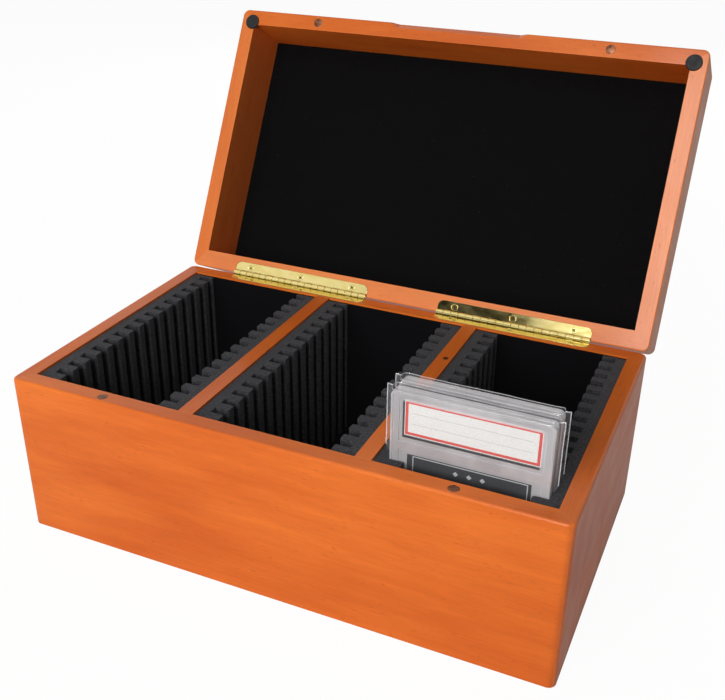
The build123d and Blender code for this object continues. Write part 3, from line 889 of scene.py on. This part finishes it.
def slack(x, side, z, seed):
    """How far loose film stands off: waves and creases on the faces, flutter in the fins."""
    wave = noise.noise(Vector((x * 0.06 + seed, side * 3.1, z * 0.06)))
    crease = noise.noise(Vector((x * 0.25 + seed, side * 5.3, z * 0.12)))
    share = 1.0 if abs(x) < SLEEVE_FLAT else 0.25
    off = side * share * (WAVE * (wave + 0.5) + CREASE * crease)
    past_edge = abs(x) - SLEEVE_SNUG
    if past_edge > 0:
        off += FLUTTER * noise.noise(Vector((seed, x * 0.02, z * 0.09))) * past_edge / SLEEVE_FIN
    return off


def mouth_lift(x, side, seed):
    """How far the bag's mouth stands up: most at its two ears."""
    ears = EAR_RISE * (abs(x) / (SLEEVE_SNUG + SLEEVE_FIN)) ** 8
    return ears + MOUTH_WAVE * noise.noise(Vector((x * 0.07, side * 2.0, seed)))


def sleeve(name, x, y, seed):
    """A film bag round a holder: snug between the foam, its side seams free above."""
    bm = bmesh.new()
    top = SLAB_SEAT + SLAB_HEIGHT + SLEEVE_TOP
    heights = list(SNUG_HEIGHTS)
    heights += [FOAM_TOP + (top - FOAM_TOP) * k / FREE_ROWS for k in range(FREE_ROWS)]
    heights += [top - LIP_HEIGHT, top]
    rows = []
    for z in heights:
        loose = min(max((z - FOAM_TOP - LOOSE_START) / LOOSE_SPAN, 0.0), 1.0)
        loose = loose * loose * (3 - 2 * loose)
        stand = SLAB_HALF + SLEEVE_PLAY + SLEEVE_SLACK * loose
        row = []
        for px, py in whole_ring(sleeve_section(FILM + SLEEVE_FIN * loose, stand)):
            side = -1 if py < 0 else 1
            lift = mouth_lift(px, side, seed) if z >= top - LIP_HEIGHT else 0.0
            row.append(bm.verts.new((px, py + loose * slack(px, side, z, seed), z + lift)))
        rows.append(row)
    for a, b in zip(rows, rows[1:]):
        for k in range(len(a)):
            j = (k + 1) % len(a)
            face = bm.faces.new((a[k], a[j], b[j], b[k]))
            seam = min(abs(v.co.x) for v in face.verts) > SLEEVE_SNUG + SEAM_SHARE * SLEEVE_FIN
            face.material_index = 1 if b is rows[-1] or seam else 0
    place = Matrix.Translation((x, y, 0))
    made = piece(name, bm, [film, film_edge], "case", place, smooth=50.0)
    shell = made.modifiers.new("film", "SOLIDIFY")
    shell.thickness = FILM * MM
    shell.offset = 0.0


for seed, (slab, (x, y)) in zip((3.7, 15.0), SLABS.items()):
    upright = Matrix.Translation((x, y, SLAB_SEAT)) @ Matrix.Rotation(pi / 2, 4, "X")
    holder_half(f"{slab}_front_shell", upright, wells=False)
    holder_half(f"{slab}_back_shell", upright @ Matrix.Rotation(pi, 4, "Y"), wells=True)
    sleeve(f"{slab}_sleeve", x, y, seed)


# ---------------------------------------------------------------- magnets and bumpers


BODY_HEIGHT = 101.5
CASE_LENGTH = 324.9
CASE_DEPTH = 187.0
MAGNET_X = 102.25
MAGNET_RADIUS = 3.0
MAGNET_DEPTH = 3.0
MAGNET_ROW = 5.1
BUMPER_RADIUS = 5.1
BUMPER_INSET = 8.6
BUMPER_HEIGHT = 1.05

# Points in from a disc's edge and up from the wood's face
MAGNET_EDGE = ((0, -0.3), (0.08, -0.12), (0.3, -0.04))
BUMPER_EDGE = ((0, 0.45), (0.12, 0.75), (0.4, 0.94), (0.9, BUMPER_HEIGHT - 0.02))
BUMPER_DISH = ((2.4, BUMPER_HEIGHT), (2.0, BUMPER_HEIGHT - 0.08), (0, BUMPER_HEIGHT - 0.1))

lid_face = LID @ Matrix.Translation((0, 0, RIM_DROP)) @ Matrix.Rotation(pi, 4, "X")


def magnets(name, place, row, body):
    """Two magnet discs, a hair under the rim, with rounded edges."""
    bm = bmesh.new()
    profile = [(0, -MAGNET_DEPTH), (MAGNET_RADIUS, -MAGNET_DEPTH)]
    profile += [(MAGNET_RADIUS - inset, z) for inset, z in MAGNET_EDGE]
    profile.append((0, MAGNET_EDGE[-1][1]))
    for x in (-MAGNET_X, MAGNET_X):
        lathe(bm, profile, Matrix.Translation((x, row, 0)), steps=40)
    piece(f"fine_{name}", bm, [nickel_finish], body, place, stands_for=(name,))


def bumpers():
    """Two round rubber bumpers with soft edges and a shallow dish."""
    bm = bmesh.new()
    profile = [(0, 0), (BUMPER_RADIUS, 0)]
    profile += [(BUMPER_RADIUS - inset, z) for inset, z in BUMPER_EDGE]
    profile += BUMPER_DISH
    for side in (-1, 1):
        x = side * (CASE_LENGTH / 2 - BUMPER_INSET)
        lathe(bm, profile, Matrix.Translation((x, CASE_DEPTH - BUMPER_INSET, 0)), steps=48)
    piece("fine_lid_bumpers", bm, [rubber_finish], "lid", lid_face,
          stands_for=("lid_bumpers",))


magnets("body_magnets", Matrix.Translation((0, 0, BODY_HEIGHT)), MAGNET_ROW - CASE_DEPTH / 2, "case")
magnets("lid_magnets", lid_face, CASE_DEPTH - MAGNET_ROW, "lid")
bumpers()


# ---------------------------------------------------------------- stage


FLOOR_REACH = 9000
FLOOR_GREY = (0.6, 0.6, 0.6)
FLOOR_WHITE = 0.92
FLOOR_GLOW = 1.04
MIRRORED_FLOOR = 0.2
WORLD_FILL = 0.17


def stage_material(name):
    """Pale and matt; a share of it is plain white to the camera, less in reflections."""
    f = Finish(name)
    grain = f.noise(f.place(), (60, 60, 60), detail=2)
    paper = f.mix(grain, [0.97 * c for c in FLOOR_GREY], FLOOR_GREY)
    matt = f.node("ShaderNodeBsdfDiffuse", {"Color": paper})
    glow = f.node("ShaderNodeEmission", {"Strength": FLOOR_GLOW})
    rays = f.node("ShaderNodeLightPath")
    seen = f.math("MAXIMUM", rays.outputs["Is Camera Ray"], rays.outputs["Is Transmission Ray"])
    mirrored = f.math("MULTIPLY", rays.outputs["Is Glossy Ray"], MIRRORED_FLOOR)
    share = f.math("MULTIPLY", f.math("MAXIMUM", seen, mirrored), FLOOR_WHITE)
    both = f.node("ShaderNodeMixShader", {0: share, 1: matt.outputs[0], 2: glow.outputs[0]})
    f.feed(f.output.inputs["Surface"], both.outputs[0])
    return f.material


def pale_floor():
    """A wide floor under the case."""
    bm = bmesh.new()
    bmesh.ops.create_grid(bm, x_segments=4, y_segments=4, size=FLOOR_REACH)
    floor = piece("floor", bm, [stage_material("floor_paper")], None)


def reflected_card():
    """A dark card that only reflections see, between the white surroundings and the lamp."""
    bm = bmesh.new()
    corners = [(-450, -900, 430), (-150, -900, 430), (-150, -900, 900), (-450, -900, 900)]
    bm.faces.new([bm.verts.new(corner) for corner in corners])
    matt = Finish("dark_card").shade(base_color=(0.01, 0.012, 0.01, 1.0), roughness=0.9)
    dark_card = piece("dark_card", bm, [matt], None)
    for ray in ("camera", "diffuse", "shadow", "transmission", "volume_scatter"):
        setattr(dark_card, f"visible_{ray}", False)


def studio_world():
    """White where it is seen or mirrored, and a low fill where it only lights."""
    world = bpy.data.worlds.new("studio")
    bpy.context.scene.world = world
    world.use_nodes = True
    w = Nodes(world.node_tree)
    rays = w.node("ShaderNodeLightPath")
    seen = w.math("MAXIMUM", rays.outputs["Is Camera Ray"], rays.outputs["Is Glossy Ray"])
    seen = w.math("MAXIMUM", seen, rays.outputs["Is Transmission Ray"])
    level = w.node("ShaderNodeMapRange", {"Value": seen, "To Min": WORLD_FILL, "To Max": 1.0})
    background = w.tree.nodes["Background"]
    w.feed(background.inputs["Color"], (1.0, 1.0, 1.0, 1.0))
    w.feed(background.inputs["Strength"], level.outputs[0])


def softbox(name, place, aim, width, height, power):
    """A soft rectangular lamp that faces a point."""
    data = bpy.data.lights.new(name, "AREA")
    data.shape = "RECTANGLE"
    data.size = width
    data.size_y = height
    data.energy = power
    lamp = bpy.data.objects.new(name, data)
    lamp.location = place
    lamp.rotation_euler = (Vector(aim) - Vector(place)).to_track_quat("-Z", "Y").to_euler()
    lamp.visible_camera = False
    bpy.context.scene.collection.objects.link(lamp)
    return lamp


pale_floor()
reflected_card()
studio_world()

# The key and the rear lamp only light; the strip is only mirrored
MIDDLE = (0.0, 0.0, 0.1)
key = softbox("key", (-0.1, -1.18, 0.65), MIDDLE, width=0.8, height=0.7, power=15.8)
key.visible_glossy = False
strip = softbox("strip", (0.13, -0.98, 0.9), MIDDLE, width=0.3, height=0.8, power=11.0)
strip.visible_diffuse = False
rear = softbox("rear", (-0.35, 1.35, 0.75), (0.0, 0.1, 0.15), width=0.9, height=0.9, power=9.0)
rear.visible_glossy = False


# ---------------------------------------------------------------- camera


SENSOR_WIDTH = 36.0
FOCAL_LENGTH = 48.756
SHIFT = (-0.02122, -0.00976)
CLIP = (0.01, 50.0)
CAMERA_PLACE = (0.21877, -0.45853, 0.37527)
CAMERA_RIGHT = Vector((0.91688, 0.39890, 0.01680))
CAMERA_UP = Vector((-0.19480, 0.41023, 0.89102))


def photo_camera():
    """The camera that took the photograph, worked out from the case's right angles."""
    data = bpy.data.cameras.new("camera")
    data.sensor_fit = "HORIZONTAL"
    data.sensor_width = SENSOR_WIDTH
    data.lens = FOCAL_LENGTH
    data.shift_x, data.shift_y = SHIFT
    data.clip_start, data.clip_end = CLIP
    camera = bpy.data.objects.new("camera", data)
    axes = (CAMERA_RIGHT, CAMERA_UP, CAMERA_RIGHT.cross(CAMERA_UP))
    camera.matrix_world = Matrix.Translation(CAMERA_PLACE) @ Matrix(axes).transposed().to_4x4()
    bpy.context.scene.collection.objects.link(camera)
    bpy.context.scene.camera = camera


photo_camera()
bpy.context.scene.view_settings.view_transform = "Standard"
